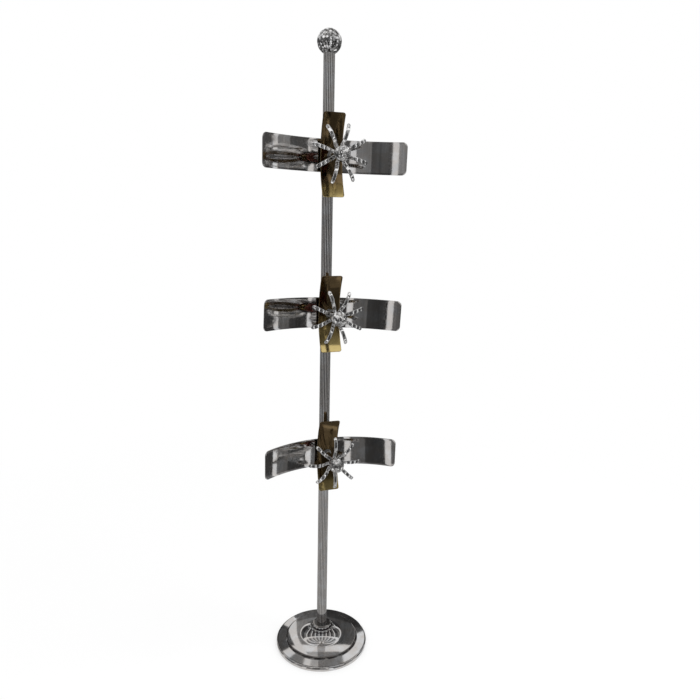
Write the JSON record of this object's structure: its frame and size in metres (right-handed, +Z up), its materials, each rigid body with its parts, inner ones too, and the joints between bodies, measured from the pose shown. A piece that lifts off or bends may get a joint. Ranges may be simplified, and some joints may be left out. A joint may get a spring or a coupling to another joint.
{
  "type": "display stand",
  "caption": "Free-standing chrome floor stand with a round weighted base, crossed curved chrome and brass straps, turning stars of arched fingers and ball knobs for hanging goods.",
  "frame": {"origin": "on the floor, on the pole's axis", "axes": "+Z up along the pole; the stations face -Y; +X is to the right seen from the front"},
  "size_m": [0.3262, 0.2426, 1.5098],
  "materials": {
    "chrome": "polished",
    "strap_chrome": "polished, lightly scratched",
    "finger_chrome": "polished",
    "brass": "polished, tarnished",
    "bush_brass": "turned",
    "steel": "zinc plated",
    "cast_iron": "as cast, painted",
    "felt": "felt",
    "fibre": "vulcanised fibre"
  },
  "bodies": {
    "stand": {"base_pad": "felt", "base_weight": "cast_iron", "base_cover": "chrome", "base_collar": "chrome", "base_washer": "steel", "base_bolt": "steel", "pole": "chrome", "pole_foot_plug": "steel", "pole_top_plug": "steel", "finial_stud": "steel", "finial_ball": "chrome", "upper_cross_strap": "strap_chrome", "upper_upright_strap": "brass", "upper_stud": "steel", "upper_sleeve": "chrome", "upper_ball_knob": "chrome", "middle_cross_strap": "strap_chrome", "middle_upright_strap": "brass", "middle_stud": "steel", "middle_sleeve": "chrome", "middle_ball_knob": "chrome", "lower_cross_strap": "strap_chrome", "lower_upright_strap": "brass", "lower_stud": "steel", "lower_sleeve": "chrome", "lower_ball_knob": "chrome", "pole_saddles": "chrome", "rear_saddle_washers": "chrome", "dome_nuts": "chrome", "strap_spacers": "chrome", "clamp_washers": "steel", "clamp_nuts": "steel", "thrust_washers": "fibre", "knob_washers": "steel"},
    "upper_star": {"upper_finger_star": "finger_chrome", "upper_star_bush": "bush_brass"},
    "middle_star": {"middle_finger_star": "finger_chrome", "middle_star_bush": "bush_brass"},
    "lower_star": {"lower_finger_star": "finger_chrome", "lower_star_bush": "bush_brass"}
  },
  "joints": [
    {"name": "upper_star_turn", "type": "hinge", "parent": "stand", "child": "upper_star", "pos_m": [0, -0.0879, 1.245], "axis": [0, -1, 0], "continuous": true},
    {"name": "middle_star_turn", "type": "hinge", "parent": "stand", "child": "middle_star", "pos_m": [0, -0.0879, 0.894], "axis": [0, -1, 0], "continuous": true},
    {"name": "lower_star_turn", "type": "hinge", "parent": "stand", "child": "lower_star", "pos_m": [0, -0.0879, 0.547], "axis": [0, -1, 0], "continuous": true}
  ]
}
